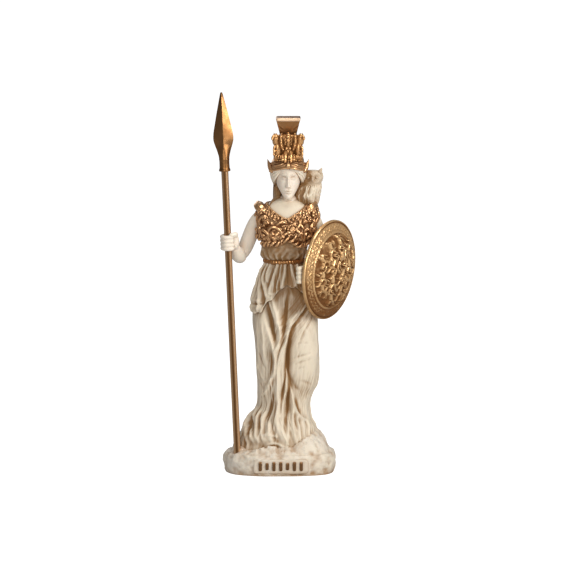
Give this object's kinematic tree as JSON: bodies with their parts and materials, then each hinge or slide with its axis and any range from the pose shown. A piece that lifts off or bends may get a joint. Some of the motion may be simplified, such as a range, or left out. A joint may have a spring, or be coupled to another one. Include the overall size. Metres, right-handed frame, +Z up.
{
  "type": "athena statue",
  "caption": "Small cast stone figurine of a standing goddess in a crested helmet and draped dress, with a round shield, an upright spear and an owl on one shoulder, on a rocky plinth",
  "frame": {"origin": "middle of the plinth's flat underside", "axes": "+Z up along the figure; the figure faces -Y; the spear is on the -X side, and +X is the side of the shield and the owl"},
  "size_m": [0.0919, 0.0633, 0.25],
  "materials": {
    "cast_stone": "matte cream cast stone, with a tan wash in the hollows",
    "gilt": "antique gold paint, darker in the hollows",
    "bronze": "satin coppery bronze rod"
  },
  "bodies": {
    "root": {"figure_and_plinth": "cast_stone", "shield": "gilt", "spear_shaft": "bronze", "spear_head": "gilt"}
  },
  "joints": []
}
